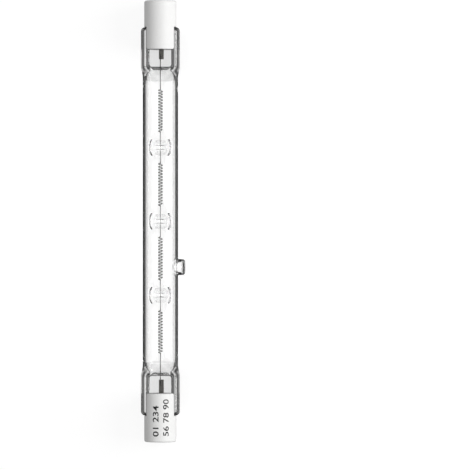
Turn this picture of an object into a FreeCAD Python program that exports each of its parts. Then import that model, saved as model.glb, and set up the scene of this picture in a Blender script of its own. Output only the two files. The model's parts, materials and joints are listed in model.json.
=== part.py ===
import FreeCAD, Part
import math
import os

# Linear halogen lamp of the 118 mm class with a recessed contact at each end.
# The lamp is modelled along Y, with the flat of its pinch seals facing +Z and
# its exhaust tip along +X. At the end it is rolled into the pose in which it
# rests on a table, on its tube and on the exhaust tip. Lengths in millimetres.

# Whole lamp
overall_length = 117.6

# Quartz tube with its exhaust tip
tube_od = 9.4
tube_wall = 1.0
tip_od = 4.27
tip_wall = 0.72
tip_height = 1.95
tip_edge_r = 0.8
tip_y = -12.2

# Pinch seals: a web between two rails, pressed from the end of the tube
pinch_width = 10.35
pinch_thickness = 3.8
rail_r = 1.5
pinch_corner_r = 1.2
pocket_length = 10.8
pocket_floor_width = 6.2
pocket_corner_r = 0.8
pocket_draft = 0.72
web_thickness = 2.0
shoulder_length = 3.5
cavity_end_width = 5.6
cavity_end_height = 0.7
cavity_end_r = 0.25

# Dimples pressed into the tube by pairs of blunt jaws hold the filament's legs
jaw_nose_width = 1.6
jaw_nose_length = 0.5
jaw_slope_x = 0.62
jaw_slope_y = 0.55
dimple_wall = 0.7

# Tungsten filament: coils of square-cornered turns joined by straight legs
coil_count = 4
coil_od = 1.35
coil_pitch = 0.565
coil_gap = 7.7
end_leg = 2.7
wire_d = 0.3

# Molybdenum foil in each pinch, with the leg and the outer lead welded on it
foil_width = 1.3
foil_thickness = 0.04
foil_length = 7.3
foil_offset = 0.25
foil_inset_upper = 2.2
foil_inset_lower = 1.2
weld_flat = 0.03
weld_overlap = 1.5
lead_d = 0.6

# Steatite caps with a tongue on each side of the pinch
cap_od = 8.6
cap_body_length = 7.0
cap_edge_r = 0.5
tongue_length = 5.95
tongue_width = 7.3
tongue_corner_r = 0.5
recess_d = 4.0
contact_depth = 1.7

# Contact buttons, each in its own seat in the floor of the recess
button_d = 3.0
button_thickness = 0.6
button_edge_r = 0.25
stem_d = 1.6
stem_length = 2.0
stem_floor = 0.3

# How finely bent stretches are divided
steps_per_turn = 6
press_steps = 3
side_split = 15.0
face_split = 40.0
edge_strips = 2

# Fits
cement_gap = 0.25
pocket_clearance = 0.1
button_clearance = 0.05
stem_clearance = 0.05
dimple_clearance = 0.05

# Places along the lamp, worked out from the sizes above
tube_r = tube_od / 2
bore_r = tube_r - tube_wall
tip_r = tip_od / 2
tip_reach = tube_r + tip_height
cap_r = cap_od / 2
half_length = overall_length / 2
cap_shoulder = half_length - cap_body_length
tongue_tip = cap_shoulder - tongue_length
pocket_end = cap_shoulder - pocket_length
pinch_start = pocket_end + pocket_draft * (pinch_thickness - web_thickness) / 2
shoulder_start = pinch_start - shoulder_length
slot_floor = cap_shoulder + cement_gap
contact_face = half_length - contact_depth
button_back = contact_face - button_thickness
coil_room = (2 * (shoulder_start - end_leg) - (coil_count - 1) * coil_gap) / coil_count
coil_turns = int(coil_room / coil_pitch)
coil_length = coil_turns * coil_pitch
coil_spacing = (2 * (shoulder_start - end_leg) - coil_length) / (coil_count - 1)
coil_r = (coil_od - wire_d) / 2
foil_face = wire_d / 2 - weld_flat
foil_start = {"upper": pocket_end + foil_inset_upper, "lower": pocket_end + foil_inset_lower}
past = 1.0

AXIS_X = FreeCAD.Vector(1, 0, 0)
AXIS_Y = FreeCAD.Vector(0, 1, 0)
AXIS_Z = FreeCAD.Vector(0, 0, 1)
CENTRE = FreeCAD.Vector(0, 0, 0)


def rod(diameter, start, end, z=0.0):
    """A round bar along the lamp from start to end."""
    foot = FreeCAD.Vector(0, start, z)
    return Part.makeCylinder(diameter / 2, end - start, foot, AXIS_Y)


def block(width, start, end, low, high, centre=0.0):
    """A box along the lamp, between two heights."""
    corner = FreeCAD.Vector(centre - width / 2, start, low)
    return Part.makeBox(width, end - start, high - low, corner)


def place_at(end, shape):
    """What is built for the upper end, mirrored for the lower one."""
    if end == "upper":
        return shape
    return shape.mirror(CENTRE, AXIS_Y)


def section(half_w, half_t, corner_r, share, y):
    """A closed section across the lamp, from a circle at share 0 to a rounded rectangle."""
    low = math.radians(side_split) * (1 - share)
    high = math.pi / 2 - math.radians(face_split) * (1 - share)
    quarter = [(half_w, 0)]
    for angle in (low, (low + high) / 2, high):
        x = half_w - corner_r + corner_r * math.cos(angle)
        z = half_t - corner_r + corner_r * math.sin(angle)
        quarter.append((x, z))
    quarter.append((0, half_t))
    ring = quarter[:-1] + [(-x, z) for x, z in reversed(quarter[1:])]
    ring += [(-x, -z) for x, z in quarter[:-1]] + [(x, -z) for x, z in reversed(quarter[1:])]
    points = [FreeCAD.Vector(x, y, z) for x, z in ring]
    edges = []
    for n in range(-1, len(points) - 1, 2):
        start, middle, end = points[n], points[n + 1], points[n + 2]
        straight = share == 1 and n % 4 == 3
        edges.append(Part.makeLine(start, end) if straight else Part.Arc(start, middle, end).toShape())
    return Part.Wire(edges)


def pressed(start_r, end_w, end_t, end_r, start, end):
    """The stretch in which a round tube is pressed flat, in a few straight steps."""
    wires = []
    for step in range(press_steps + 1):
        along = step / press_steps
        share = along * along * (3 - 2 * along)
        half_w = start_r + (end_w / 2 - start_r) * share
        half_t = start_r + (end_t / 2 - start_r) * share
        corner_r = start_r + (end_r - start_r) * share
        wires.append(section(half_w, half_t, corner_r, share, start + (end - start) * along))
    return Part.makeLoft(wires, True, True)


def outline(half_w, square_end, round_end, corner_r, z):
    """A rectangle in plan, with the two corners of one end rounded."""
    back = math.copysign(corner_r, square_end - round_end)
    cut = 1 - math.cos(math.pi / 4)
    edges = []
    corners = []
    for side in (-1, 1):
        on_side = FreeCAD.Vector(side * half_w, round_end + back, z)
        middle = FreeCAD.Vector(side * (half_w - cut * corner_r), round_end + cut * back, z)
        on_end = FreeCAD.Vector(side * (half_w - corner_r), round_end, z)
        edges.append(Part.Arc(on_side, middle, on_end).toShape())
        edges.append(Part.makeLine(FreeCAD.Vector(side * half_w, square_end, z), on_side))
        corners.append(on_end)
    edges.append(Part.makeLine(corners[0], corners[1]))
    edges.append(Part.makeLine(edges[1].Vertexes[0].Point, edges[3].Vertexes[0].Point))
    return Part.Wire(Part.__sortEdges__(edges))


def slab(half_w, square_end, round_end, corner_r):
    """A plate of that outline, thicker than the lamp."""
    wire = outline(half_w, square_end, round_end, corner_r, -tube_od)
    return Part.Face(wire).extrude(AXIS_Z * 2 * tube_od)


def turned(radius, start, end, edge_r, strips):
    """A round bar along the lamp whose outer edge is rounded in a few strips."""
    points = [(0, start), (radius, start)]
    for strip in range(strips + 1):
        angle = math.pi / 2 * strip / strips
        across = radius - edge_r + edge_r * math.cos(angle)
        points.append((across, end - edge_r + edge_r * math.sin(angle)))
    points.append((0, end))
    ring = [FreeCAD.Vector(x, y, 0) for x, y in points]
    return Part.Face(Part.makePolygon(ring + ring[:1])).revolve(CENTRE, AXIS_Y, 360)


def pinch_outer():
    """One pressed end of the tube: its shoulder, then the pinch with rounded ends."""
    press = (pinch_width, pinch_thickness, rail_r, shoulder_start, pinch_start)
    shoulder = pressed(tube_r, *press)
    profile = section(pinch_width / 2, pinch_thickness / 2, rail_r, 1, pinch_start)
    pinch = Part.Face(profile).extrude(AXIS_Y * (cap_shoulder - pinch_start))
    trim = slab(pinch_width / 2, pinch_start, cap_shoulder, pinch_corner_r)
    return shoulder.fuse(pinch.common(trim))


def pockets():
    """The recess on both faces of a pinch, with drafted walls, open at the end."""
    low_z = web_thickness / 2
    grow = (tube_r - low_z) * pocket_draft
    half_w = pocket_floor_width / 2
    open_end = cap_shoulder + past
    low = outline(half_w, open_end, pocket_end, pocket_corner_r, low_z)
    high = outline(half_w + grow, open_end, pocket_end - grow, pocket_corner_r + grow, tube_r)
    front = Part.makeLoft([low, high], True, True)
    return [front, front.mirror(CENTRE, AXIS_Z)]


def dimple(y, side, skin):
    """The jaw that presses one dimple, or with a skin the wall that it leaves."""
    nose_z = wire_d / 2 + dimple_clearance + dimple_wall - skin
    height = tube_r + past - nose_z
    nose_x = jaw_nose_width / 2 + skin
    nose_y = jaw_nose_length / 2 + skin
    top_x = nose_x + height * jaw_slope_x
    top_y = nose_y + height * jaw_slope_y
    wide = [-top_x, -height, -top_y]
    jaw = Part.makeWedge(*wide, -nose_y, -nose_x, top_x, 0, top_y, nose_y, nose_x)
    jaw.rotate(CENTRE, AXIS_X, -90)
    jaw.translate(FreeCAD.Vector(0, 0, nose_z))
    if side < 0:
        jaw = jaw.mirror(CENTRE, AXIS_Z)
    jaw.translate(FreeCAD.Vector(0, y, 0))
    return jaw


def dimple_places():
    """A dimple between each two coils."""
    return [(n - (coil_count - 2) / 2) * coil_spacing for n in range(coil_count - 1)]


def tip(radius, reach, edge_r, strips):
    """The round stub left where the tube was emptied, filled and sealed."""
    stub = turned(radius, 0, reach, edge_r, strips)
    stub.rotate(CENTRE, AXIS_Z, -90)
    stub.translate(FreeCAD.Vector(0, tip_y, 0))
    return stub


def cavity():
    """The sealed space in the tube, with the dimples' inner walls left standing."""
    close = (cavity_end_width, cavity_end_height, cavity_end_r, shoulder_start, pocket_end)
    end = pressed(bore_r, *close)
    space = rod(2 * bore_r, -shoulder_start, shoulder_start)
    space = space.multiFuse([end, place_at("lower", end)])
    space = space.fuse(tip(tip_r - tip_wall, tip_reach - tip_wall, tip_edge_r / 2, 1))
    walls = [dimple(y, side, dimple_wall) for y in dimple_places() for side in (1, -1)]
    return space.cut(walls)


def lead(end):
    """The stiff wire from the foil to the contact, flat where it is welded."""
    start = foil_start[end] + foil_length - weld_overlap
    wire = rod(lead_d, start, button_back - stem_floor)
    flat = block(lead_d, start, foil_start[end] + foil_length, -lead_d, -foil_face)
    return place_at(end, wire.cut(flat))


def foil(end):
    """The thin strip that carries the current through the sealed quartz."""
    start = foil_start[end]
    sheet = block(
        foil_width, start, start + foil_length, -foil_face - foil_thickness, -foil_face, foil_offset
    )
    return place_at(end, sheet)


def leg_flat(end):
    """What the weld takes off the leg, where it lies on the foil."""
    start = foil_start[end]
    return place_at(end, block(wire_d, start, start + weld_overlap, -wire_d, -foil_face))


def coil_section(y_start, step):
    """The four corners of the wire, in a plane through the coil's axis."""
    half = wire_d / 2
    turns = step / steps_per_turn
    angle = 2 * math.pi * turns
    middle = AXIS_Y * (y_start + coil_pitch * turns)
    across = FreeCAD.Vector(math.cos(angle), 0, math.sin(angle))
    inner, outer = across * (coil_r - half), across * (coil_r + half)
    low, high = middle - AXIS_Y * half, middle + AXIS_Y * half
    return [inner + low, outer + low, outer + high, inner + high]


def patch(*corners):
    """A flat face between three or four corners."""
    return Part.Face(Part.makePolygon(list(corners) + [corners[0]]))


def coil(y_mid):
    """One coil: short bars from section to section, with flat faces all round."""
    y_start = y_mid - coil_length / 2
    steps = coil_turns * steps_per_turn
    sections = [coil_section(y_start, step) for step in range(steps + 1)]
    faces = [patch(*sections[0]), patch(*sections[-1])]
    for (a, b, c, d), (e, f, g, h) in zip(sections, sections[1:]):
        faces += [patch(b, c, g, f), patch(d, a, e, h)]
        faces += [patch(a, b, f), patch(a, f, e), patch(c, d, h), patch(c, h, g)]
    skin = Part.makeCompound(faces)
    skin.sewShape()
    return Part.Solid(Part.Shell(skin.Faces))


def filament():
    """One wire: a leg from foil to foil that is wound into the coils on its way."""
    middles = [(n - (coil_count - 1) / 2) * coil_spacing for n in range(coil_count)]
    pieces = [coil(y) for y in middles]
    half = wire_d / 2
    stops = [-foil_start["lower"] - weld_overlap]
    for y in middles:
        for turn_y in (y - coil_length / 2, y + coil_length / 2):
            low_y, high_y = turn_y - half, turn_y + half
            pieces.append(block(coil_r + wire_d, low_y, high_y, -half, half, coil_r / 2))
            stops.append(turn_y)
    stops.append(foil_start["upper"] + weld_overlap)
    legs = [block(wire_d, stops[n], stops[n + 1], -half, half) for n in range(0, len(stops), 2)]
    wire = legs[0].multiFuse(legs[1:] + pieces)
    return wire.cut([leg_flat("upper"), leg_flat("lower")])


def envelope():
    """The quartz body, with room for what is sealed into its two ends."""
    ends = ("upper", "lower")
    body = rod(tube_od, -shoulder_start, shoulder_start)
    body = body.multiFuse([place_at(end, pinch_outer()) for end in ends])
    body = body.fuse(tip(tip_r, tip_reach, tip_edge_r, edge_strips))
    cuts = [cavity()]
    cuts += [place_at(end, pocket) for end in ends for pocket in pockets()]
    cuts += [dimple(y, side, 0) for y in dimple_places() for side in (1, -1)]
    for end in ends:
        weld_end = foil_start[end] + weld_overlap
        leg = block(wire_d, pocket_end - past, weld_end, -wire_d / 2, wire_d / 2)
        cuts += [place_at(end, leg).cut(leg_flat(end)), foil(end), lead(end)]
    return body.cut(cuts)


def cement_block(end):
    """The room for cement between the tongues and past the end of the web."""
    width = pocket_floor_width - 2 * pocket_clearance
    half = web_thickness / 2 + cement_gap
    return place_at(end, block(width, tongue_tip + tongue_corner_r, slot_floor, -half, half))


def cap(end):
    """A ceramic cap: round body with a recess, and two tongues on the pinch."""
    body = turned(cap_r, cap_shoulder, half_length, cap_edge_r, edge_strips)
    tongues = rod(cap_od, tongue_tip, cap_shoulder)
    tongues = tongues.common(slab(tongue_width / 2, cap_shoulder, tongue_tip, tongue_corner_r))
    gap = web_thickness / 2 + cement_gap
    foot = pocket_floor_width / 2 - pocket_clearance + cement_gap * pocket_draft
    rise = cap_r - gap
    side = foot + rise * pocket_draft
    corners = [(foot, gap), (side, cap_r), (2 * cap_r, cap_r), (2 * cap_r, -cap_r), (side, -cap_r)]
    corners += [(foot, -gap)]
    corners += [(-x, -z) for x, z in corners]
    points = [FreeCAD.Vector(x, tongue_tip, z) for x, z in corners]
    gap_face = Part.Face(Part.makePolygon(points + points[:1]))
    tongues = tongues.cut(gap_face.extrude(AXIS_Y * tongue_length))
    bore = rod(stem_d + 2 * stem_clearance, cap_shoulder, half_length)
    seat = rod(button_d + 2 * button_clearance, button_back, half_length)
    recess = rod(recess_d, contact_face, half_length + past)
    return place_at(end, body.fuse(tongues).cut([bore, seat, recess, cement_block("upper")]))


def cement(end):
    """Cement that fills the slot of the cap around the end of the web."""
    web = block(pinch_width, pocket_end, cap_shoulder, -web_thickness / 2, web_thickness / 2)
    return cement_block(end).cut([place_at(end, web), lead(end)])


def button(end):
    """A contact button with a stem that takes the lead."""
    head = turned(button_d / 2, button_back, contact_face, button_edge_r, 1)
    stem = rod(stem_d, button_back - stem_length, button_back)
    return place_at(end, head.fuse(stem)).cut(lead(end))


def rest_roll():
    """The roll, in degrees, at which the exhaust tip's rim meets the table."""
    rolls = []
    for strip in range(edge_strips + 1):
        angle = math.pi / 2 * strip / edge_strips
        along = tip_reach - tip_edge_r + tip_edge_r * math.sin(angle)
        across = tip_r - tip_edge_r + tip_edge_r * math.cos(angle)
        rolls.append(math.asin(tube_r / math.hypot(along, across)) - math.atan2(across, along))
    return math.degrees(min(rolls))


def build():
    """All pieces by name, still in the lamp's own frame."""
    pieces = {"quartz_envelope": envelope(), "filament": filament()}
    for end in ("upper", "lower"):
        pieces["end_cap_" + end] = cap(end)
        pieces["cap_cement_" + end] = cement(end)
        pieces["contact_button_" + end] = button(end)
        pieces["outer_lead_" + end] = lead(end)
        pieces["seal_foil_" + end] = foil(end)
    return pieces


pieces = build()
for shape in pieces.values():
    shape.rotate(CENTRE, AXIS_Y, rest_roll())
box = Part.makeCompound(list(pieces.values())).optimalBoundingBox(False, False)
os.makedirs("parts", exist_ok=True)
for name, shape in pieces.items():
    shape.translate(FreeCAD.Vector(-(box.XMin + box.XMax) / 2, 0, tube_r))
    shape.exportStep("parts/" + name + ".step")
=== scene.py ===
import json
import math

import bmesh
import bpy
from mathutils import Matrix, Vector


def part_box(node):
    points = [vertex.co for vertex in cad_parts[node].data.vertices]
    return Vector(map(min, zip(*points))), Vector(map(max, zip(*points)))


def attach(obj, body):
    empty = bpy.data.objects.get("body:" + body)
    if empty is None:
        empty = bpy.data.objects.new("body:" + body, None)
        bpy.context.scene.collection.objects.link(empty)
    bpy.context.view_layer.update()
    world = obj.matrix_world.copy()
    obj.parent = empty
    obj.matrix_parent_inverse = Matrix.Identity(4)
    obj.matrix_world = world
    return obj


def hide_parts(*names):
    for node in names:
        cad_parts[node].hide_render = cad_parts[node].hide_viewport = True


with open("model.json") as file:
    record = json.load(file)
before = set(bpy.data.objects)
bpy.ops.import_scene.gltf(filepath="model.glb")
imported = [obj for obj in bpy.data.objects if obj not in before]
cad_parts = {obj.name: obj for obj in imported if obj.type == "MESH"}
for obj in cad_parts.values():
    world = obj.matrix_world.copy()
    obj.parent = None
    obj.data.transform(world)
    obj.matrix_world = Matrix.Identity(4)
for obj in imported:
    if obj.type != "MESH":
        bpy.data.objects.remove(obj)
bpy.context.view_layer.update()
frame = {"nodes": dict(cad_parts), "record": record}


# Quartz envelope
# A drawn tube of fused quartz, emptied and filled through the stub at its side,
# then softened and pressed flat over the foils at both ends. Pairs of jaws have
# pressed dimples into it from front and back, which hold the filament's legs.

# Millimetres in the lamp's own frame, with Y along it and Z square to the pinch.
MM = 0.001
ROLL = math.radians(28.1179)
QUARTZ_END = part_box("quartz_envelope")[1].y / MM
TUBE_R = 4.7
BORE_R = 3.7

# The pinch is a thin web between two thicker rails, with a drafted pocket on each side.
PINCH_HALF_WIDTH = 5.175
PINCH_HALF_THICKNESS = 1.9
PINCH_CORNER_R = 1.2
RAIL_R = 1.5
WEB_HALF_THICKNESS = 1.0
POCKET_LENGTH = 10.8
POCKET_HALF_WIDTH = 3.1
POCKET_CORNER_R = 0.8
POCKET_DRAFT = 0.72
POCKET_EDGE = 0.22

# The tube flattens before it widens, and the space inside closes earlier still.
SHOULDER_LENGTH = 3.5
FLATTENING_LEAD = 1.5
CLOSING_LEAD = 2.6
CAVITY_END_HALF_WIDTH = 2.8
CAVITY_END_HALF_HEIGHT = 0.3

# A jaw has a blunt nose, sides that run out so far for each millimetre of height, and
# soft edges. Inside, the nose is wider by the wall and longer by JAW_FOLLOW of it.
DIMPLE_SPACING = 19.677
DIMPLE_WALL = 0.7
DIMPLE_LIP = 0.6
JAW_HEIGHT = 0.9
JAW_HALF_WIDTH = 0.45
JAW_HALF_LENGTH = 0.4
JAW_SIDE_EDGE = 1.25
JAW_EDGE = 0.28
JAW_SLOPE_X = 0.63
JAW_SLOPE_Y = 0.65
JAW_FOLLOW = 0.6

# The stub of the exhaust tube has a flare at its root and a melted end. The hole left
# for it is so many times its root's radius, along the tube and round it.
TIP_Y = -12.2
TIP_R = 2.135
TIP_WALL = 0.72
TIP_REACH = 6.62
TIP_EDGE_R = 0.8
TIP_FLARE = 0.25
TIP_BORE_FLARE = 0.3
TIP_STEPS = 6
HOLE_ALONG = 1.3
HOLE_ROUND = 1.25

# How finely the two skins are drawn: points round them, and the step between sections
# where the tube is plain.
OUTER_FACETS = 160
BORE_FACETS = 120
COARSE_STEP = 1.6

# Waves in the drawn wall, and how far from its end the pinch's painted shade is fully dark.
WAVE_WIDTH = 1.11
WAVE_LENGTH = 16.7
END_DARK_DEPTH = 0.3

POCKET_END = QUARTZ_END - POCKET_LENGTH
POCKET_WALL_RUN = POCKET_DRAFT * (PINCH_HALF_THICKNESS - WEB_HALF_THICKNESS)
POCKET_TOP = POCKET_END - POCKET_WALL_RUN
PINCH_START = POCKET_END + POCKET_WALL_RUN
SHOULDER_START = PINCH_START - SHOULDER_LENGTH
FLATTENING_START = SHOULDER_START - FLATTENING_LEAD
CLOSING_START = SHOULDER_START - CLOSING_LEAD

mounts = {mount["name"]: mount for mount in frame["record"]["mounts"]}
AXIS_PLACE = Vector(mounts["contact_face_upper"]["pos_m"]) * Vector((1, 0, 1))
LAMP_PLACE = Matrix.Translation(AXIS_PLACE) @ Matrix.Rotation(ROLL, 4, "Y") @ Matrix.Scale(MM, 4)


def linear(code):
    """An sRGB hex value as the linear colour that a shader reads."""
    channels = [int(code[n:n + 2], 16) / 255 for n in (1, 3, 5)]
    return [c / 12.92 if c <= 0.04045 else ((c + 0.055) / 1.055) ** 2.4 for c in channels] + [1]


def add_node(tree, kind, settings=None, inputs=None):
    """Adds one node, with its settings, and with each input set or linked to a socket."""
    node = tree.nodes.new(kind)
    for name, value in (settings or {}).items():
        setattr(node, name, value)
    for name, value in (inputs or {}).items():
        if isinstance(value, bpy.types.NodeSocket):
            tree.links.new(value, node.inputs[name])
        else:
            node.inputs[name].default_value = value
    return node


def new_material(name):
    """An empty material and its node tree."""
    material = bpy.data.materials.new(name)
    material.use_nodes = True
    material.node_tree.nodes.clear()
    return material, material.node_tree


def set_stops(ramp_node, stops):
    """Gives a colour ramp its stops, each a position and an sRGB colour."""
    elements = ramp_node.color_ramp.elements
    for element, (position, colour) in ((elements[0], stops[0]), (elements[1], stops[-1])):
        element.position, element.color = position, linear(colour)
    for position, colour in stops[1:-1]:
        elements.new(position).color = linear(colour)


def soft_ramp(value, width):
    """Zero below, value above, and a curve in between where a press leaves no sharp edge."""
    if value <= -width:
        return 0.0
    if value >= width:
        return value
    return (value + width) ** 2 / (4 * width)


def soft_min(a, b, width):
    """The lower of two heights, with the ridge between them rounded off."""
    near = max(width - abs(a - b), 0) / width
    return min(a, b) - near * near * width / 4


def ring_points(half_w, half_t, corner_r, count):
    """Points evenly spaced round a rounded rectangle, from its right side on."""
    side, arc, face = half_t - corner_r, math.pi / 2 * corner_r, half_w - corner_r
    quarter = []
    for n in range(count // 4):
        s = (side + arc + face) * n * 4 / count
        if s < side:
            quarter.append((half_w, s))
        elif s < side + arc:
            angle = (s - side) / corner_r
            quarter.append((face + corner_r * math.cos(angle), side + corner_r * math.sin(angle)))
        else:
            quarter.append((face - (s - side - arc), half_t))
    upper = quarter + [(0, half_t)] + [(-x, z) for x, z in reversed(quarter[1:])]
    return upper + [(-x, -z) for x, z in upper]


def pressed_share(y, start, end):
    """How far the press has closed at y, eased in and out between its start and end."""
    along = min(max((abs(y) - start) / (end - start), 0), 1)
    return along * along * (3 - 2 * along)


def dimple_height(x, y, skin):
    """How high the nearest jaw, grown by the skin, stands over the lamp's middle plane."""
    away = min(abs(y), abs(abs(y) - DIMPLE_SPACING))
    rise_y = soft_ramp(away - JAW_HALF_LENGTH - skin * JAW_FOLLOW, JAW_EDGE) / JAW_SLOPE_Y
    rise_x = soft_ramp(abs(x) - JAW_HALF_WIDTH - skin, JAW_SIDE_EDGE) / JAW_SLOPE_X
    return JAW_HEIGHT - skin + math.hypot(rise_x, rise_y)


def pocket_height(x, y):
    """How high the pocket's floor and drafted walls stand over the lamp's middle plane.

    Inside its outline the floor is the web. Outside it the walls rise with the distance.
    """
    over_x = abs(x) - POCKET_HALF_WIDTH + POCKET_CORNER_R
    over_y = POCKET_END + POCKET_CORNER_R - abs(y)
    away = math.hypot(max(over_x, 0), max(over_y, 0)) - POCKET_CORNER_R
    away += min(max(over_x, over_y), 0)
    return WEB_HALF_THICKNESS + soft_ramp(away, POCKET_EDGE) / POCKET_DRAFT


def outer_section(y, count):
    """The outside of the quartz, cut across the lamp at y."""
    wide = pressed_share(y, SHOULDER_START, PINCH_START)
    flat = pressed_share(y, FLATTENING_START, PINCH_START)
    over_corner = max(PINCH_CORNER_R - (QUARTZ_END - abs(y)), 0)
    cut = PINCH_CORNER_R - math.sqrt(PINCH_CORNER_R ** 2 - over_corner ** 2)
    half_w = TUBE_R + (PINCH_HALF_WIDTH - TUBE_R) * wide - cut
    half_t = TUBE_R + (PINCH_HALF_THICKNESS - TUBE_R) * flat - cut
    corner_r = min(TUBE_R + (RAIL_R - TUBE_R) * flat, half_t)
    points = []
    for x, z in ring_points(half_w, half_t, corner_r, count):
        height = soft_min(abs(z), dimple_height(x, y, 0), DIMPLE_LIP)
        height = soft_min(height, pocket_height(x, y), POCKET_EDGE)
        points.append((x, y, math.copysign(height, z)))
    return points


def inner_section(y, count):
    """The sealed space inside, cut across the lamp at y."""
    share = pressed_share(y, CLOSING_START, POCKET_END)
    narrow = 1 + (CAVITY_END_HALF_WIDTH / BORE_R - 1) * share
    flat = 1 + (CAVITY_END_HALF_HEIGHT / BORE_R - 1) * share
    lip = DIMPLE_LIP if abs(y) < CLOSING_START else POCKET_EDGE
    points = []
    for x, z in ring_points(BORE_R, BORE_R, BORE_R, count):
        height = soft_min(abs(z) * flat, dimple_height(x, y, DIMPLE_WALL), lip)
        points.append((x * narrow, y, math.copysign(height, z)))
    return points


def stations(reach, worked_spots):
    """Places along the lamp for its sections, close together where the quartz is worked.

    A worked spot is the middle of a stretch, half its length and the step in it.
    """
    places, y = [-reach], -reach
    while y < reach:
        step = COARSE_STEP
        for middle, half_length, fine_step in worked_spots:
            away = abs(y + fine_step / 2 - middle)
            if away < half_length:
                step = min(step, fine_step)
            elif middle > y:
                step = min(step, max(middle - half_length - y, fine_step))
        y = min(y + step, reach)
        places.append(y)
    return places


def tip_ring(bm, boundary, radius, tube_r, lift):
    """One ring of the stub, with a point for each point round the hole in the tube."""
    ring = []
    for corner in boundary:
        angle = math.atan2(corner.co.z, corner.co.y - TIP_Y)
        y, z = TIP_Y + radius * math.cos(angle), radius * math.sin(angle)
        x = lift(math.sqrt(tube_r ** 2 - z ** 2))
        ring.append(bm.verts.new((x, y, z)))
    return ring


def tip_profile(radius, reach, edge_r, flare):
    """The stub's rings, from the flare at its root to the middle of its end.

    Each has a radius, and a function that turns the place of the tube's surface into
    the place of the ring, since the stub leaves a round tube but ends flat.
    """
    quarter = [math.pi / 2 * n / TIP_STEPS for n in range(TIP_STEPS + 1)]
    profile = []
    for angle in quarter:
        grow = flare * (1 - math.cos(angle))
        profile.append((radius + flare * (1 - math.sin(angle)), lambda surface, g=grow: surface + g))
    top = reach - edge_r
    for share in (0.25, 0.5, 0.75):
        profile.append((radius, lambda surface, s=share: surface + flare + (top - surface - flare) * s))
    for angle in quarter:
        x = top + edge_r * math.sin(angle)
        profile.append((radius - edge_r + edge_r * math.cos(angle), lambda surface, x=x: x))
    for share in (0.7, 0.4, 0.15):
        profile.append(((radius - edge_r) * share, lambda surface: reach))
    return profile


def quartz_skin(section_at, count, places, tube_r, profile):
    """One closed skin of the envelope: its sections, its two ends and the stub at its side."""
    bm = bmesh.new()

    # The tube is faced ring by ring, except where the stub leaves it.
    rings = [[bm.verts.new(point) for point in section_at(y, count)] for y in places]
    root_r = profile[0][0]
    hole = [n for n, y in enumerate(places) if abs(y - TIP_Y) < root_r * HOLE_ALONG]
    first, last = hole[0], hole[-1]
    half = next(n for n in range(count) if rings[first][n].co.z > root_r * HOLE_ROUND)
    for row in range(len(places) - 1):
        for n in range(count):
            in_hole = first <= row < last and (n < half or n >= count - half)
            if not in_hole:
                m = (n + 1) % count
                bm.faces.new((rings[row][n], rings[row + 1][n], rings[row + 1][m], rings[row][m]))

    # Each end is closed by strips across, so that its faces follow the flat web.
    for ring in (rings[0], rings[-1]):
        for n in range(count // 2):
            loop = [ring[n], ring[n + 1], ring[(count - n - 1) % count], ring[(count - n) % count]]
            loop = list(dict.fromkeys(loop))
            if len(loop) > 2:
                bm.faces.new(loop)

    # The stub grows ring by ring from the points round the hole in the tube.
    boundary = [rings[row][half] for row in range(first, last)]
    boundary += [rings[last][n] for n in range(half, -half, -1)]
    boundary += [rings[row][-half] for row in range(last, first, -1)]
    boundary += [rings[first][n] for n in range(-half, half)]
    previous = boundary
    for radius, lift in profile:
        ring = tip_ring(bm, boundary, radius, tube_r, lift)
        for n in range(len(ring)):
            m = (n + 1) % len(ring)
            bm.faces.new((previous[n], previous[m], ring[m], ring[n]))
        previous = ring
    bm.faces.new(previous)

    # The points inside the hole carry no face.
    unused = set()
    for ring in rings[first + 1:last]:
        unused.update(ring[:half] + ring[1 - half:])
    bmesh.ops.delete(bm, geom=list(unused), context="VERTS")
    bmesh.ops.recalc_face_normals(bm, faces=bm.faces)
    return bm


def finish_mesh(name, bm, material, sharp_angle=None):
    """A placed piece from what was built in the lamp's own frame, shaded smooth."""
    bmesh.ops.transform(bm, matrix=LAMP_PLACE, verts=bm.verts)
    mesh = bpy.data.meshes.new(name)
    bm.to_mesh(mesh)
    bm.free()
    mesh.shade_smooth()
    if sharp_angle:
        mesh.set_sharp_from_angle(angle=math.radians(sharp_angle))
    mesh.materials.append(material)
    piece = bpy.data.objects.new(name, mesh)
    bpy.context.scene.collection.objects.link(piece)
    return piece


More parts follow.
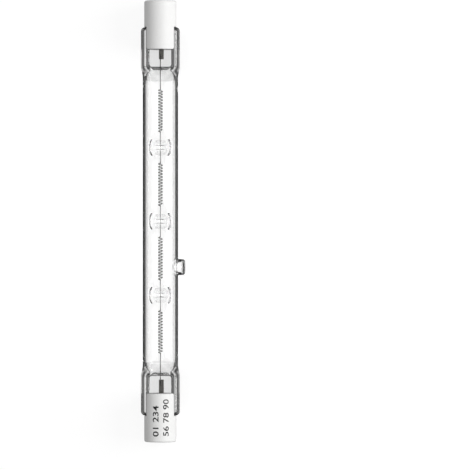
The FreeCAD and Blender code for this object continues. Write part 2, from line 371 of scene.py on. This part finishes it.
def quartz_with_painted_edge_shade(name, drawn, pressed):
    """Fused quartz with painted edge shade: clear where one looks through it, painted dark where one
    looks along it.

    The two lists give the painted shade from face-on to edge-on, in the drawn tube and in the pinch.
    """
    material, tree = new_material(name)
    place = add_node(tree, "ShaderNodeTexCoord")
    axes = add_node(tree, "ShaderNodeSeparateXYZ", None, {0: place.outputs["Object"]})
    along = add_node(tree, "ShaderNodeMath", {"operation": "ABSOLUTE"}, {0: axes.outputs["Y"]})

    # Drawing leaves faint waves in the wall, long along the tube and short round it.
    streaks = add_node(tree, "ShaderNodeMapping", None, {
        "Vector": place.outputs["Object"],
        "Scale": (1 / (WAVE_WIDTH * MM), 1 / (WAVE_LENGTH * MM), 1 / (WAVE_WIDTH * MM))})
    waves = add_node(tree, "ShaderNodeTexNoise", None, {
        "Vector": streaks.outputs["Vector"], "Scale": 1, "Detail": 2})
    bump = add_node(tree, "ShaderNodeBump", None, {
        "Height": waves.outputs["Fac"], "Strength": 0.02, "Distance": 0.0002})

    # In the shoulders only the turn across the lamp gets painted edge shade, so that the wall's
    # painted dark line runs on into the pinch's edge.
    in_shoulder = add_node(tree, "ShaderNodeMath", {"operation": "COMPARE"}, {
        0: along.outputs[0], 1: (POCKET_END + FLATTENING_START) / 2 * MM,
        2: (POCKET_END - FLATTENING_START) / 2 * MM})
    kept = add_node(tree, "ShaderNodeMath", {"operation": "SUBTRACT"}, {
        0: 1.0, 1: in_shoulder.outputs[0]})
    weights = add_node(tree, "ShaderNodeCombineXYZ", None, {"X": 1.0, "Y": kept.outputs[0], "Z": 1.0})
    tilt = add_node(tree, "ShaderNodeVectorMath", {"operation": "MULTIPLY"}, {
        0: place.outputs["Normal"], 1: weights.outputs[0]})
    turned = add_node(tree, "ShaderNodeVectorMath", {"operation": "NORMALIZE"}, {0: tilt.outputs[0]})
    edge = add_node(tree, "ShaderNodeLayerWeight", None, {"Blend": 0.5, "Normal": turned.outputs[0]})
    # Painted edge shade: the colour is painted darker as the surface turns edge-on, by one ramp in the
    # drawn tube and another in the pinch.
    painted_shade_colours = []
    for stops in (drawn, pressed):
        painted_shade_ramp = add_node(tree, "ShaderNodeValToRGB", None, {"Fac": edge.outputs["Facing"]})
        set_stops(painted_shade_ramp, stops)
        painted_shade_colours.append(painted_shade_ramp.outputs["Color"])
    worked = add_node(tree, "ShaderNodeMapRange", {"interpolation_type": "SMOOTHSTEP"}, {
        "Value": along.outputs[0], "From Min": SHOULDER_START * MM, "From Max": POCKET_TOP * MM})
    body = add_node(tree, "ShaderNodeMix", {"data_type": "RGBA"}, {
        "Factor": worked.outputs[0], 6: painted_shade_colours[0], 7: painted_shade_colours[1]})

    # Painted shade: the pinch's rounded ends are painted nearly black, for the dark that thick glass
    # gathers round them.
    painted_end_shade = add_node(tree, "ShaderNodeMapRange", {"interpolation_type": "SMOOTHSTEP"}, {
        "Value": along.outputs[0], "From Min": (QUARTZ_END - PINCH_CORNER_R) * MM,
        "From Max": (QUARTZ_END - END_DARK_DEPTH) * MM})
    whole = add_node(tree, "ShaderNodeMix", {"data_type": "RGBA"}, {
        "Factor": painted_end_shade.outputs[0], 6: body.outputs[2], 7: linear("#101010")})
    glass = add_node(tree, "ShaderNodeBsdfPrincipled", None, {
        "Base Color": whole.outputs[2], "Roughness": 0.0, "IOR": 1.458,
        "Transmission Weight": 1.0, "Normal": bump.outputs["Normal"]})

    # Light passes to the floor, so that clear glass has a faint shadow.
    clear = add_node(tree, "ShaderNodeBsdfTransparent", None, {"Color": linear("#F4F4F4")})
    path = add_node(tree, "ShaderNodeLightPath")
    mix = add_node(tree, "ShaderNodeMixShader", None, {
        0: path.outputs["Is Shadow Ray"], 1: glass.outputs[0], 2: clear.outputs[0]})
    add_node(tree, "ShaderNodeOutputMaterial", None, {"Surface": mix.outputs[0]})
    return material


# The dimples, the stub, the shoulders and the pinch's rounded ends.
worked_spots = [(y, 2.4, 0.14) for y in (-DIMPLE_SPACING, 0, DIMPLE_SPACING)]
worked_spots += [(TIP_Y, 3.4, 0.35)]
worked_spots += [(side * (SHOULDER_START + PINCH_START) / 2, 2.4, 0.18) for side in (-1, 1)]
worked_spots += [(side * QUARTZ_END, PINCH_CORNER_R, 0.12) for side in (-1, 1)]

outer = quartz_skin(
    outer_section, OUTER_FACETS, stations(QUARTZ_END, worked_spots), TUBE_R,
    tip_profile(TIP_R, TIP_REACH, TIP_EDGE_R, TIP_FLARE))
inner = quartz_skin(
    inner_section, BORE_FACETS, stations(POCKET_END, worked_spots), BORE_R,
    tip_profile(TIP_R - TIP_WALL, TIP_REACH - TIP_WALL, TIP_EDGE_R / 2, TIP_BORE_FLARE))
bmesh.ops.reverse_faces(inner, faces=inner.faces)
for face in inner.faces:
    face.material_index = 1
cavity_mesh = bpy.data.meshes.new("cavity")
inner.to_mesh(cavity_mesh)
inner.free()
outer.from_mesh(cavity_mesh)
bpy.data.meshes.remove(cavity_mesh)
# Both skins' ramps are painted edge shade: each skin is painted darker where it turns edge-on, the
# pinch's rails most.
quartz = finish_mesh("fused_quartz_envelope", outer, quartz_with_painted_edge_shade(
    "drawn and pressed fused quartz with painted edge shade",
    [(0.46, "#FFFFFF"), (0.54, "#909090"), (0.63, "#0C0C0C"), (0.71, "#101010"),
     (0.78, "#787878"), (0.92, "#C8C8C8")],
    [(0.01, "#E0E0E0"), (0.05, "#C0C0C0"), (0.11, "#606060"), (0.17, "#141414"),
     (0.32, "#202020"), (0.42, "#606060"), (0.56, "#989898"), (0.9, "#C4C4C4")]))
quartz.data.materials.append(quartz_with_painted_edge_shade(
    "bore of the fused quartz with painted edge shade",
    [(0.5, "#FFFFFF"), (0.9, "#A0A0A0")],
    [(0.3, "#FFFFFF"), (0.9, "#A0A0A0")]))
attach(quartz, "root")
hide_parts("quartz_envelope")


# Filament
# Tungsten wire, first wound into a fine coil and then, as if that were the wire,
# into four coils joined by straight legs. The legs are welded on the foils.

# The real coils have 21 turns in the same length, and the fine coil's pitch is well
# under 0.1 mm. Both are drawn coarser, because finer turns blur into a grey band.
COIL_COUNT = 4
COIL_TURNS = 15
COIL_PITCH = 0.791
COIL_R = 0.525
FINE_COIL_R = 0.105
FINE_PITCH = 0.14
FINE_STEPS = 7
WIRE_R = 0.048
WIRE_SIDES = 5

# A coil opens out of its leg in part of a turn. The inner ends of the legs overlap the
# coils, and the outermost ends lie welded on the foils.
OPENING_TURNS = 0.4
LEG_OVERLAP = 0.05
WELD_LENGTH = 1.4

FULL_TURN = 2 * math.pi
COIL_LENGTH = COIL_TURNS * COIL_PITCH
COIL_MIDDLES = [(n - (COIL_COUNT - 1) / 2) * DIMPLE_SPACING for n in range(COIL_COUNT)]


def uneven_tone(tree, size, detail, stops):
    """A tone that wanders in patches about so many millimetres wide, and its height."""
    place = add_node(tree, "ShaderNodeTexCoord")
    patches = add_node(tree, "ShaderNodeTexNoise", None, {
        "Vector": place.outputs["Object"], "Scale": 1 / (size * MM), "Detail": detail})
    tone = add_node(tree, "ShaderNodeValToRGB", None, {"Fac": patches.outputs["Fac"]})
    set_stops(tone, stops)
    return tone.outputs["Color"], patches.outputs["Fac"]


def metal_finish(name, size, detail, dark, pale, roughness):
    """A metal with the faintly uneven tone that its making leaves.

    The real grain is far too fine to show, so broader patches stand for it.
    """
    material, tree = new_material(name)
    tone, _ = uneven_tone(tree, size, detail, [(0, dark), (1, pale)])
    metal = add_node(tree, "ShaderNodeBsdfPrincipled", None, {
        "Base Color": tone, "Roughness": roughness, "Metallic": 1.0})
    add_node(tree, "ShaderNodeOutputMaterial", None, {"Surface": metal.outputs[0]})
    return material


def wound_wire_tree(material):
    """A coiled coil: the fine coil's axis is itself a coil that eases out of a straight leg."""
    tree = bpy.data.node_groups.new("wound wire", "GeometryNodeTree")
    tree.interface.new_socket("Geometry", in_out="OUTPUT", socket_type="NodeSocketGeometry")
    for name in ("Length", "Turns", "Coil Radius", "Fine Turns", "Fine Radius", "Wire Radius"):
        tree.interface.new_socket(name, in_out="INPUT", socket_type="NodeSocketFloat")
    found = {socket.name: socket for socket in add_node(tree, "NodeGroupInput").outputs}
    found["index"] = add_node(tree, "GeometryNodeInputIndex").outputs[0]
    number, vector, joined = "ShaderNodeMath", "ShaderNodeVectorMath", "ShaderNodeCombineXYZ"
    recipe = (
        ("steps", number, "MULTIPLY", ("Fine Turns", FINE_STEPS)),
        ("points", number, "ADD", ("steps", 1)),
        ("share", number, "DIVIDE", ("index", "steps")),
        ("turns so far", number, "MULTIPLY", ("share", "Turns")),
        ("turn", number, "MULTIPLY", ("turns so far", FULL_TURN)),
        ("fine turns so far", number, "MULTIPLY", ("share", "Fine Turns")),
        ("fine turn", number, "MULTIPLY", ("fine turns so far", FULL_TURN)),
        ("share left", number, "SUBTRACT", (1, "share")),
        ("nearer end", number, "MINIMUM", ("share", "share left")),
        ("turns from end", number, "MULTIPLY", ("nearer end", "Turns")),
        ("opening", number, "DIVIDE", ("turns from end", OPENING_TURNS)),
        ("open", number, "MINIMUM", ("opening", 1)),
        ("open squared", number, "MULTIPLY", ("open", "open")),
        ("easing", number, "MULTIPLY_ADD", ("open", -2, 3)),
        ("ease", number, "MULTIPLY", ("open squared", "easing")),
        ("radius", number, "MULTIPLY", ("Coil Radius", "ease")),
        ("cosine", number, "COSINE", ("turn",)),
        ("sine", number, "SINE", ("turn",)),
        ("outwards", joined, None, ("cosine", 0, "sine")),
        ("whole turn", number, "MULTIPLY", ("Turns", FULL_TURN)),
        ("rise", number, "DIVIDE", ("Length", "whole turn")),
        ("run z", number, "MULTIPLY", ("radius", "cosine")),
        ("against x", number, "MULTIPLY", ("radius", "sine")),
        ("run x", number, "MULTIPLY", ("against x", -1)),
        ("run", joined, None, ("run x", "rise", "run z")),
        ("onwards", vector, "NORMALIZE", ("run",)),
        ("across", vector, "CROSS_PRODUCT", ("onwards", "outwards")),
        ("from middle", number, "SUBTRACT", ("share", 0.5)),
        ("along", number, "MULTIPLY", ("from middle", "Length")),
        ("on axis", joined, None, (0, "along", 0)),
        ("off axis", vector, "MULTIPLY", ("outwards", "radius")),
        ("middle", vector, "ADD", ("on axis", "off axis")),
        ("fine cosine", number, "COSINE", ("fine turn",)),
        ("fine sine", number, "SINE", ("fine turn",)),
        ("fine outwards", vector, "MULTIPLY", ("outwards", "fine cosine")),
        ("fine across", vector, "MULTIPLY", ("across", "fine sine")),
        ("fine way", vector, "ADD", ("fine outwards", "fine across")),
        ("fine step", vector, "MULTIPLY", ("fine way", "Fine Radius")),
        ("place", vector, "ADD", ("middle", "fine step")),
    )
    for name, kind, operation, terms in recipe:
        settings = {"operation": operation} if operation else None
        inputs = {n: found.get(term, term) for n, term in enumerate(terms)}
        found[name] = add_node(tree, kind, settings, inputs).outputs[0]
    line = add_node(tree, "GeometryNodeCurvePrimitiveLine")
    path = add_node(tree, "GeometryNodeResampleCurve", {"mode": "COUNT"}, {
        "Curve": line.outputs[0], "Count": found["points"]})
    wound = add_node(tree, "GeometryNodeSetPosition", None, {
        "Geometry": path.outputs[0], "Position": found["place"]})
    profile = add_node(tree, "GeometryNodeCurvePrimitiveCircle", None, {
        "Resolution": WIRE_SIDES, "Radius": found["Wire Radius"]})
    wire = add_node(tree, "GeometryNodeCurveToMesh", None, {
        "Curve": wound.outputs[0], "Profile Curve": profile.outputs[0], "Fill Caps": True})
    real = add_node(tree, "GeometryNodeRealizeInstances", None, {0: wire.outputs[0]})
    done = add_node(tree, "GeometryNodeSetMaterial", None, {0: real.outputs[0], "Material": material})
    add_node(tree, "NodeGroupOutput", None, {0: done.outputs[0]})
    return tree


def made_plain(piece):
    """The plain mesh that a piece's text or modifiers give. The piece itself is removed."""
    graph = bpy.context.evaluated_depsgraph_get()
    mesh = bpy.data.meshes.new_from_object(piece.evaluated_get(graph))
    bpy.data.objects.remove(piece)
    return mesh


def wound_wire(tree, length, turns, coil_r):
    """A mesh of one wound stretch, its middle at the origin, its axis along Y."""
    arc = turns * math.hypot(FULL_TURN * coil_r, length / turns)
    sizes = {"Length": length, "Turns": turns, "Coil Radius": coil_r,
             "Fine Turns": round(arc / FINE_PITCH), "Fine Radius": FINE_COIL_R,
             "Wire Radius": WIRE_R}
    piece = bpy.data.objects.new("wound wire", bpy.data.meshes.new("wound wire"))
    bpy.context.scene.collection.objects.link(piece)
    winding = piece.modifiers.new("winding", "NODES")
    winding.node_group = tree
    for socket in tree.interface.items_tree:
        if socket.in_out == "INPUT":
            winding[socket.identifier] = float(sizes[socket.name])
    return made_plain(piece)


# Drawn tungsten is dark grey, with a dull shine.
tungsten = metal_finish(
    "drawn tungsten", size=1.11, detail=2, dark="#201F1E", pale="#3C3A38", roughness=0.35)
wire_tree = wound_wire_tree(tungsten)
foil_inner_ends = [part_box("seal_foil_lower")[1].y / MM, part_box("seal_foil_upper")[0].y / MM]
leg_ends = [foil_inner_ends[0] - WELD_LENGTH]
for middle in COIL_MIDDLES:
    leg_ends += [middle - COIL_LENGTH / 2 + LEG_OVERLAP, middle + COIL_LENGTH / 2 - LEG_OVERLAP]
leg_ends.append(foil_inner_ends[1] + WELD_LENGTH)
stretches = [(y, wound_wire(wire_tree, COIL_LENGTH, COIL_TURNS, COIL_R)) for y in COIL_MIDDLES]
for start, end in zip(leg_ends[::2], leg_ends[1::2]):
    stretches.append(((start + end) / 2, wound_wire(wire_tree, end - start, 1, 0)))
filament_wire = bmesh.new()
for y, mesh in stretches:
    mesh.transform(Matrix.Translation((0, y, 0)))
    filament_wire.from_mesh(mesh)
    bpy.data.meshes.remove(mesh)
filament = finish_mesh("tungsten_filament", filament_wire, tungsten)
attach(filament, "root")
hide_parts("filament")


# Foils, leads and contacts
# Molybdenum strips sealed in the quartz carry the current to stiff leads, which
# run through the caps into the stems of the contact buttons.

# Etched molybdenum is a flat mid grey, and nickel plate pale, warm and bright.
molybdenum = metal_finish(
    "etched molybdenum", size=1.43, detail=3, dark="#4A4845", pale="#64625E", roughness=0.4)
nickel = metal_finish(
    "nickel-plated contact", size=1.43, detail=3, dark="#A8A49C", pale="#D2CEC6", roughness=0.28)
metals = {"seal_foil_": molybdenum, "outer_lead_": molybdenum, "contact_button_": nickel}
for end in ("upper", "lower"):
    for node, metal in metals.items():
        for slot in frame["nodes"][node + end].material_slots:
            slot.material = metal


# Caps
# Steatite caps, pressed and fired, with a tongue on each flat side of the pinch.
# Cement holds them on, and a recess at the end leaves the contact button's face bare.

CAP_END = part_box("end_cap_upper")[1].y / MM
TONGUE_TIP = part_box("end_cap_upper")[0].y / MM
CAP_SHOULDER = QUARTZ_END
CONTACT_FACE = mounts["contact_face_upper"]["pos_m"][1] / MM

# The body is round, with a recess at its end and the contact's seat in the recess.
CAP_R = 4.3
CAP_EDGE_R = 0.5
SMALL_EDGE_R = 0.15
TUMBLED_EDGE = 0.09
CAP_FACETS = 96
RECESS_R = 2.0
SEAT_R = 1.55
SEAT_DEPTH = 0.6

# A tongue has a flat foot just clear of the web, and flanks that lean as the pocket's
# walls do, at least by the bevel. Its heights are over the lamp's middle plane.
TONGUE_HALF_WIDTH = 3.65
TONGUE_CORNER_R = 0.5
TONGUE_FOOT_HALF_WIDTH = 3.18
TONGUE_FOOT_HEIGHT = 1.25
TONGUE_FLANK_HEIGHT = 2.0
TONGUE_BEVEL = 0.1
TONGUE_ROOT = 0.5        # how far it reaches into the body

STEATITE_GRAIN = 0.333
CEMENT_SAND = 0.25


def fired_steatite():
    """Fired steatite: warm white, dense and nearly matt.

    Its grain is far finer than this, and is drawn coarser so that it softens the light.
    """
    material, tree = new_material("fired steatite")
    tone, grain = uneven_tone(tree, STEATITE_GRAIN, 3, [(0, "#F5F5F4"), (1, "#FDFDFC")])
    bump = add_node(tree, "ShaderNodeBump", None, {
        "Height": grain, "Strength": 0.15, "Distance": 0.00005})
    ceramic = add_node(tree, "ShaderNodeBsdfPrincipled", None, {
        "Base Color": tone, "Roughness": 0.55, "Normal": bump.outputs["Normal"]})
    add_node(tree, "ShaderNodeOutputMaterial", None, {"Surface": ceramic.outputs[0]})
    return material


def lathe(bm, profile):
    """Turns radius and place pairs about the lamp's axis into a closed solid."""
    angles = [FULL_TURN * n / CAP_FACETS for n in range(CAP_FACETS)]
    rings = []
    for radius, y in profile:
        if radius == 0:
            rings.append([bm.verts.new((0, y, 0))])
        else:
            points = [(radius * math.cos(a), y, radius * math.sin(a)) for a in angles]
            rings.append([bm.verts.new(point) for point in points])
    for low, high in zip(rings, rings[1:]):
        for n in range(CAP_FACETS):
            m = (n + 1) % CAP_FACETS
            corners = [low[n % len(low)], low[m % len(low)], high[m % len(high)], high[n % len(high)]]
            bm.faces.new(list(dict.fromkeys(corners)))


def rounded(corner_r, radius, y, start, end, steps=6):
    """Profile points of a quarter round about a centre, from one angle to the other."""
    angles = [math.radians(start + (end - start) * n / steps) for n in range(steps + 1)]
    return [(radius + corner_r * math.cos(a), y + corner_r * math.sin(a)) for a in angles]


def tongue_section(y):
    """A tongue cut across at y: flat towards the web, drafted flanks and a round back."""
    from_tip = min(y - TONGUE_TIP, TONGUE_CORNER_R)
    cut = TONGUE_CORNER_R - math.sqrt(TONGUE_CORNER_R ** 2 - (TONGUE_CORNER_R - from_tip) ** 2)
    half_w = TONGUE_HALF_WIDTH - cut
    foot = min(TONGUE_FOOT_HALF_WIDTH, half_w - TONGUE_BEVEL)
    flank = min(TONGUE_FOOT_HEIGHT + (half_w - foot) / POCKET_DRAFT, TONGUE_FLANK_HEIGHT)
    points = [(0, TONGUE_FOOT_HEIGHT), (foot, TONGUE_FOOT_HEIGHT), (half_w, flank)]
    edge, steps = math.asin(half_w / CAP_R), 12
    for n in range(steps, -1, -1):
        angle = edge * n / steps
        points.append((CAP_R * math.sin(angle), CAP_R * math.cos(angle)))
    return [(x, y, z) for x, z in points] + [(-x, y, z) for x, z in reversed(points[1:-1])]


def tongue(bm, side):
    """One tongue, from its tip, with round corners, into the body of the cap."""
    places = [TONGUE_TIP]
    for angle in range(10, 91, 16):
        places.append(TONGUE_TIP + TONGUE_CORNER_R * (1 - math.cos(math.radians(angle))))
    places.append(CAP_SHOULDER + TONGUE_ROOT)
    rings = [[bm.verts.new((x, y, side * z)) for x, y, z in tongue_section(y)] for y in places]
    for low, high in zip(rings, rings[1:]):
        for n in range(len(low)):
            m = (n + 1) % len(low)
            bm.faces.new((low[n], low[m], high[m], high[n]))
    bm.faces.new(rings[0])
    bm.faces.new(rings[-1])


def temporary(name, build, *parts):
    """An object in the lamp's own frame for a modifier to work on."""
    bm = bmesh.new()
    build(bm, *parts)
    bmesh.ops.recalc_face_normals(bm, faces=bm.faces)
    mesh = bpy.data.meshes.new(name)
    bm.to_mesh(mesh)
    bm.free()
    piece = bpy.data.objects.new(name, mesh)
    bpy.context.scene.collection.objects.link(piece)
    return piece


def cap_mesh():
    """The whole cap, its tongues grown into the body and its edges tumbled smooth."""
    profile = [(0, CAP_SHOULDER)]
    profile += rounded(SMALL_EDGE_R, CAP_R - SMALL_EDGE_R, CAP_SHOULDER + SMALL_EDGE_R, -90, 0)
    profile += rounded(CAP_EDGE_R, CAP_R - CAP_EDGE_R, CAP_END - CAP_EDGE_R, 0, 90)
    profile += rounded(SMALL_EDGE_R, RECESS_R + SMALL_EDGE_R, CAP_END - SMALL_EDGE_R, 90, 180)
    profile += [(RECESS_R, CONTACT_FACE), (SEAT_R, CONTACT_FACE)]
    profile += [(SEAT_R, CONTACT_FACE - SEAT_DEPTH), (0, CONTACT_FACE - SEAT_DEPTH)]
    body = temporary("cap body", lathe, profile)
    tongues = [temporary("tongue", tongue, side) for side in (1, -1)]
    for part in tongues:
        union = body.modifiers.new("grown on", "BOOLEAN")
        union.operation, union.solver, union.object = "UNION", "EXACT", part
    edges = body.modifiers.new("tumbled edges", "BEVEL")
    edges.width, edges.segments, edges.angle_limit = TUMBLED_EDGE, 2, math.radians(40)
    mesh = made_plain(body)
    for part in tongues:
        bpy.data.objects.remove(part)
    return mesh


def refractory_cement():
    """Baked refractory cement: a dry, sandy grey white."""
    material, tree = new_material("baked refractory cement")
    place = add_node(tree, "ShaderNodeTexCoord")
    sand = add_node(tree, "ShaderNodeTexVoronoi", None, {
        "Vector": place.outputs["Object"], "Scale": 1 / (CEMENT_SAND * MM)})
    colour = add_node(tree, "ShaderNodeValToRGB", None, {"Fac": sand.outputs["Distance"]})
    set_stops(colour, [(0, "#B9B4A8"), (1, "#E2DED4")])
    bump = add_node(tree, "ShaderNodeBump", None, {
        "Height": sand.outputs["Distance"], "Strength": 0.4, "Distance": 0.0001})
    paste = add_node(tree, "ShaderNodeBsdfPrincipled", None, {
        "Base Color": colour.outputs["Color"], "Roughness": 0.9, "Normal": bump.outputs["Normal"]})
    add_node(tree, "ShaderNodeOutputMaterial", None, {"Surface": paste.outputs[0]})
    return material


def round_shading(mesh):
    """Shades the cap's round outside as the true cylinder that its narrow faces stand for."""
    skin_r = (CAP_R - 0.01) * MM
    normals = []
    for face in mesh.polygons:
        for n in face.vertices:
            away = mesh.vertices[n].co - AXIS_PLACE
            away.y = 0
            outwards = away.normalized()

            # The rounded edges, the recess and the tongues' flanks keep their own shading.
            is_skin = away.length > skin_r and face.normal.dot(outwards) > 0.99
            normals.append(outwards if is_skin else Vector((0, 0, 0)))
    mesh.normals_split_custom_set(normals)


steatite = fired_steatite()
cement = refractory_cement()
whole_cap = cap_mesh()
for end, turn in (("upper", 0), ("lower", math.pi)):
    solid = bmesh.new()
    solid.from_mesh(whole_cap)
    bmesh.ops.rotate(solid, verts=solid.verts, matrix=Matrix.Rotation(turn, 3, "Z"))
    cap = finish_mesh("steatite_cap_" + end, solid, steatite, sharp_angle=35)
    round_shading(cap.data)
    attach(cap, "root")
    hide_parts("end_cap_" + end)
    for slot in frame["nodes"]["cap_cement_" + end].material_slots:
        slot.material = cement


# Marking
# Two lines of plain numbers, pad printed in black ink along the lower cap, which
# read from its end towards the glass.

MARK_HEIGHT = 1.6
MARK_LIFT = 0.012        # over the cap's skin, a little more than ink stands proud
MARK_STRIP = 0.2         # the letters are cut this fine, to bend round the cap
MARK_STROKE = 0.012      # a share of the letters' size that each stroke gains
INK_PATCH = 0.4
# Each line's words, the place of its foot round the cap, where it starts and its length.
MARK_LINES = (("01 234", -0.4, -57.2, 8.2), ("56 78 90", 2.4, -57.1, 9.8))


def baked_ink():
    """Black ink baked on the ceramic: dull, and thin in places."""
    material, tree = new_material("baked black ink")
    tone, _ = uneven_tone(tree, INK_PATCH, 3, [(0.5, "#101012"), (1, "#2C2C2E")])
    ink = add_node(tree, "ShaderNodeBsdfPrincipled", None, {"Base Color": tone, "Roughness": 0.6})
    add_node(tree, "ShaderNodeOutputMaterial", None, {"Surface": ink.outputs[0]})
    return material


def flat_text(words, length):
    """The words as a flat mesh that reads along X and fills a line of this length."""
    curve = bpy.data.curves.new("line of numbers", "FONT")
    curve.body = words
    curve.offset = MARK_STROKE
    piece = bpy.data.objects.new("line of numbers", curve)
    bpy.context.scene.collection.objects.link(piece)
    mesh = made_plain(piece)
    bm = bmesh.new()
    bm.from_mesh(mesh)
    bpy.data.meshes.remove(mesh)
    bpy.data.curves.remove(curve)
    left, right = min(v.co.x for v in bm.verts), max(v.co.x for v in bm.verts)
    foot, head = min(v.co.y for v in bm.verts), max(v.co.y for v in bm.verts)
    for vert in bm.verts:
        vert.co.x = (vert.co.x - left) * length / (right - left)
        vert.co.y = (vert.co.y - foot) * MARK_HEIGHT / (head - foot)
    return bm


marking = bmesh.new()
for words, foot_x, start_y, length in MARK_LINES:
    line = flat_text(words, length)
    for n in range(1, int(MARK_HEIGHT / MARK_STRIP)):
        bmesh.ops.bisect_plane(
            line, geom=line.verts[:] + line.edges[:] + line.faces[:], dist=1e-5,
            plane_co=(0, n * MARK_STRIP, 0), plane_no=(0, 1, 0))
    away = CAP_R + MARK_LIFT
    for vert in line.verts:
        angle = (foot_x - vert.co.y) / CAP_R
        vert.co = (away * math.sin(angle), start_y + vert.co.x, away * math.cos(angle))
    wrapped = bpy.data.meshes.new("wrapped line")
    line.to_mesh(wrapped)
    line.free()
    marking.from_mesh(wrapped)
    bpy.data.meshes.remove(wrapped)
for face in marking.faces:
    face.normal_update()
    if face.normal.z < 0:
        face.normal_flip()
mark = finish_mesh("cap_marking", marking, baked_ink())
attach(mark, "root")


# Stage
# A plain pale floor, white to the camera, soft light mostly from the right, and
# a long lens, as the photograph has.

# Metres, since the stage is built round the placed lamp.
FLOOR_REACH = 3
MIRROR_REACH = 0.05

# How strongly the floor glows for the camera, how much light the world gives, and how
# bright it is seen.
FLOOR_GLOW = 0.8
WORLD_LIGHT = 0.42
WORLD_SEEN = 1.0

# The lamp is 117.6 mm long, and 441 pixels of a photograph that is 470 across. The
# middle of the picture is so many pixels right of the lamp's middle and below it.
PIXEL = 0.1176 / 441
PICTURE = 470 * PIXEL
AIM_RIGHT = 74.6
AIM_DOWN = 13.7
LENS = 300
SENSOR = 36


def white_paper():
    """White paper: a lit floor that keeps the shadow, brought up to white for the camera, with painted
    reflection strips.
    """
    material, tree = new_material("white paper with painted reflection strips")
    path = add_node(tree, "ShaderNodeLightPath")

    # Light and shadow fall on plain paper. The camera, also through glass, sees it glow.
    paper = add_node(tree, "ShaderNodeBsdfDiffuse", None, {"Color": linear("#F2F2F2")})
    faint = add_node(tree, "ShaderNodeBsdfDiffuse", None, {"Color": linear("#A8A8A8")})
    glow = add_node(tree, "ShaderNodeEmission", None, {"Strength": FLOOR_GLOW})
    shown = add_node(tree, "ShaderNodeAddShader", None, {0: faint.outputs[0], 1: glow.outputs[0]})
    seen = add_node(tree, "ShaderNodeMath", {"operation": "MAXIMUM"}, {
        0: path.outputs["Is Camera Ray"], 1: path.outputs["Is Transmission Ray"]})
    direct = add_node(tree, "ShaderNodeMixShader", None, {
        0: seen.outputs[0], 1: paper.outputs[0], 2: shown.outputs[0]})

    # Painted reflection: a ray that has been mirrored sees painted strips, bright to the lamp's
    # right and dark to its left, which give clear glass its dark outline.
    place = add_node(tree, "ShaderNodeTexCoord")
    axes = add_node(tree, "ShaderNodeSeparateXYZ", None, {0: place.outputs["Object"]})
    share = add_node(tree, "ShaderNodeMapRange", None, {
        "Value": axes.outputs["X"], "From Min": -MIRROR_REACH, "From Max": MIRROR_REACH})
    tone = add_node(tree, "ShaderNodeValToRGB", None, {"Fac": share.outputs[0]})
    set_stops(tone, [
        (0, "#E0E0E0"), (0.18, "#B0B0B0"), (0.32, "#303030"), (0.54, "#303030"),
        (0.552, "#FFFFFF"), (1, "#FFFFFF")])
    painted_reflection_strips = add_node(tree, "ShaderNodeEmission", None, {"Color": tone.outputs["Color"]})
    is_mirrored = add_node(tree, "ShaderNodeMath", {"operation": "GREATER_THAN"}, {
        0: path.outputs["Glossy Depth"], 1: 0.5})
    whole = add_node(tree, "ShaderNodeMixShader", None, {
        0: is_mirrored.outputs[0], 1: direct.outputs[0], 2: painted_reflection_strips.outputs[0]})
    add_node(tree, "ShaderNodeOutputMaterial", None, {"Surface": whole.outputs[0]})
    return material


floor_sides = ((-1, -1), (1, -1), (1, 1), (-1, 1))
floor_corners = [(x * FLOOR_REACH, y * FLOOR_REACH, 0) for x, y in floor_sides]
floor_mesh = bpy.data.meshes.new("floor")
floor_mesh.from_pydata(floor_corners, [], [(0, 1, 2, 3)])
floor_mesh.materials.append(white_paper())
floor = bpy.data.objects.new("floor", floor_mesh)
bpy.context.scene.collection.objects.link(floor)

world = bpy.data.worlds.new("studio")
bpy.context.scene.world = world
world.use_nodes = True
world.node_tree.nodes.clear()
world_path = add_node(world.node_tree, "ShaderNodeLightPath")
world_seen = add_node(world.node_tree, "ShaderNodeMath", {"operation": "MAXIMUM"}, {
    0: world_path.outputs["Is Camera Ray"], 1: world_path.outputs["Is Transmission Ray"]})
world_level = add_node(world.node_tree, "ShaderNodeMapRange", None, {
    "Value": world_seen.outputs[0], "To Min": WORLD_LIGHT, "To Max": WORLD_SEEN})
sky = add_node(world.node_tree, "ShaderNodeBackground", None, {"Strength": world_level.outputs[0]})
add_node(world.node_tree, "ShaderNodeOutputWorld", None, {"Surface": sky.outputs[0]})


def soft_box(name, place, size, power):
    """A square soft box of this size in metres and power in watts, turned to the lamp."""
    light = bpy.data.lights.new(name, "AREA")
    light.size = size
    light.energy = power
    box = bpy.data.objects.new(name, light)
    box.location = place
    box.rotation_euler = Vector(place).to_track_quat("Z", "Y").to_euler()
    bpy.context.scene.collection.objects.link(box)


soft_box("key", (0.66, 0.05, 0.22), 0.35, 2.8)
soft_box("top", (0.35, 0.1, 0.7), 0.6, 0.6)

# The camera looks square at the pinch's flat side, from far off.
across = Vector((math.cos(ROLL), 0, -math.sin(ROLL)))
towards = Vector((math.sin(ROLL), 0, math.cos(ROLL)))
aim = AXIS_PLACE + across * (AIM_RIGHT * PIXEL) - Vector((0, AIM_DOWN * PIXEL, 0))
distance = PICTURE * LENS / SENSOR
camera_data = bpy.data.cameras.new("camera")
camera_data.lens = LENS
camera_data.sensor_width = SENSOR
camera = bpy.data.objects.new("camera", camera_data)
bpy.context.scene.collection.objects.link(camera)
rotation = Matrix((across, Vector((0, 1, 0)), towards)).transposed()
camera.matrix_world = Matrix.Translation(aim + towards * distance) @ rotation.to_4x4()
bpy.context.scene.camera = camera
bpy.context.scene.view_settings.view_transform = "Standard"

# Light crosses many walls where the quartz closes, and fewer bounces leave black spots.
bpy.context.scene.cycles.max_bounces = 24
bpy.context.scene.cycles.transmission_bounces = 24
bpy.context.scene.cycles.glossy_bounces = 12
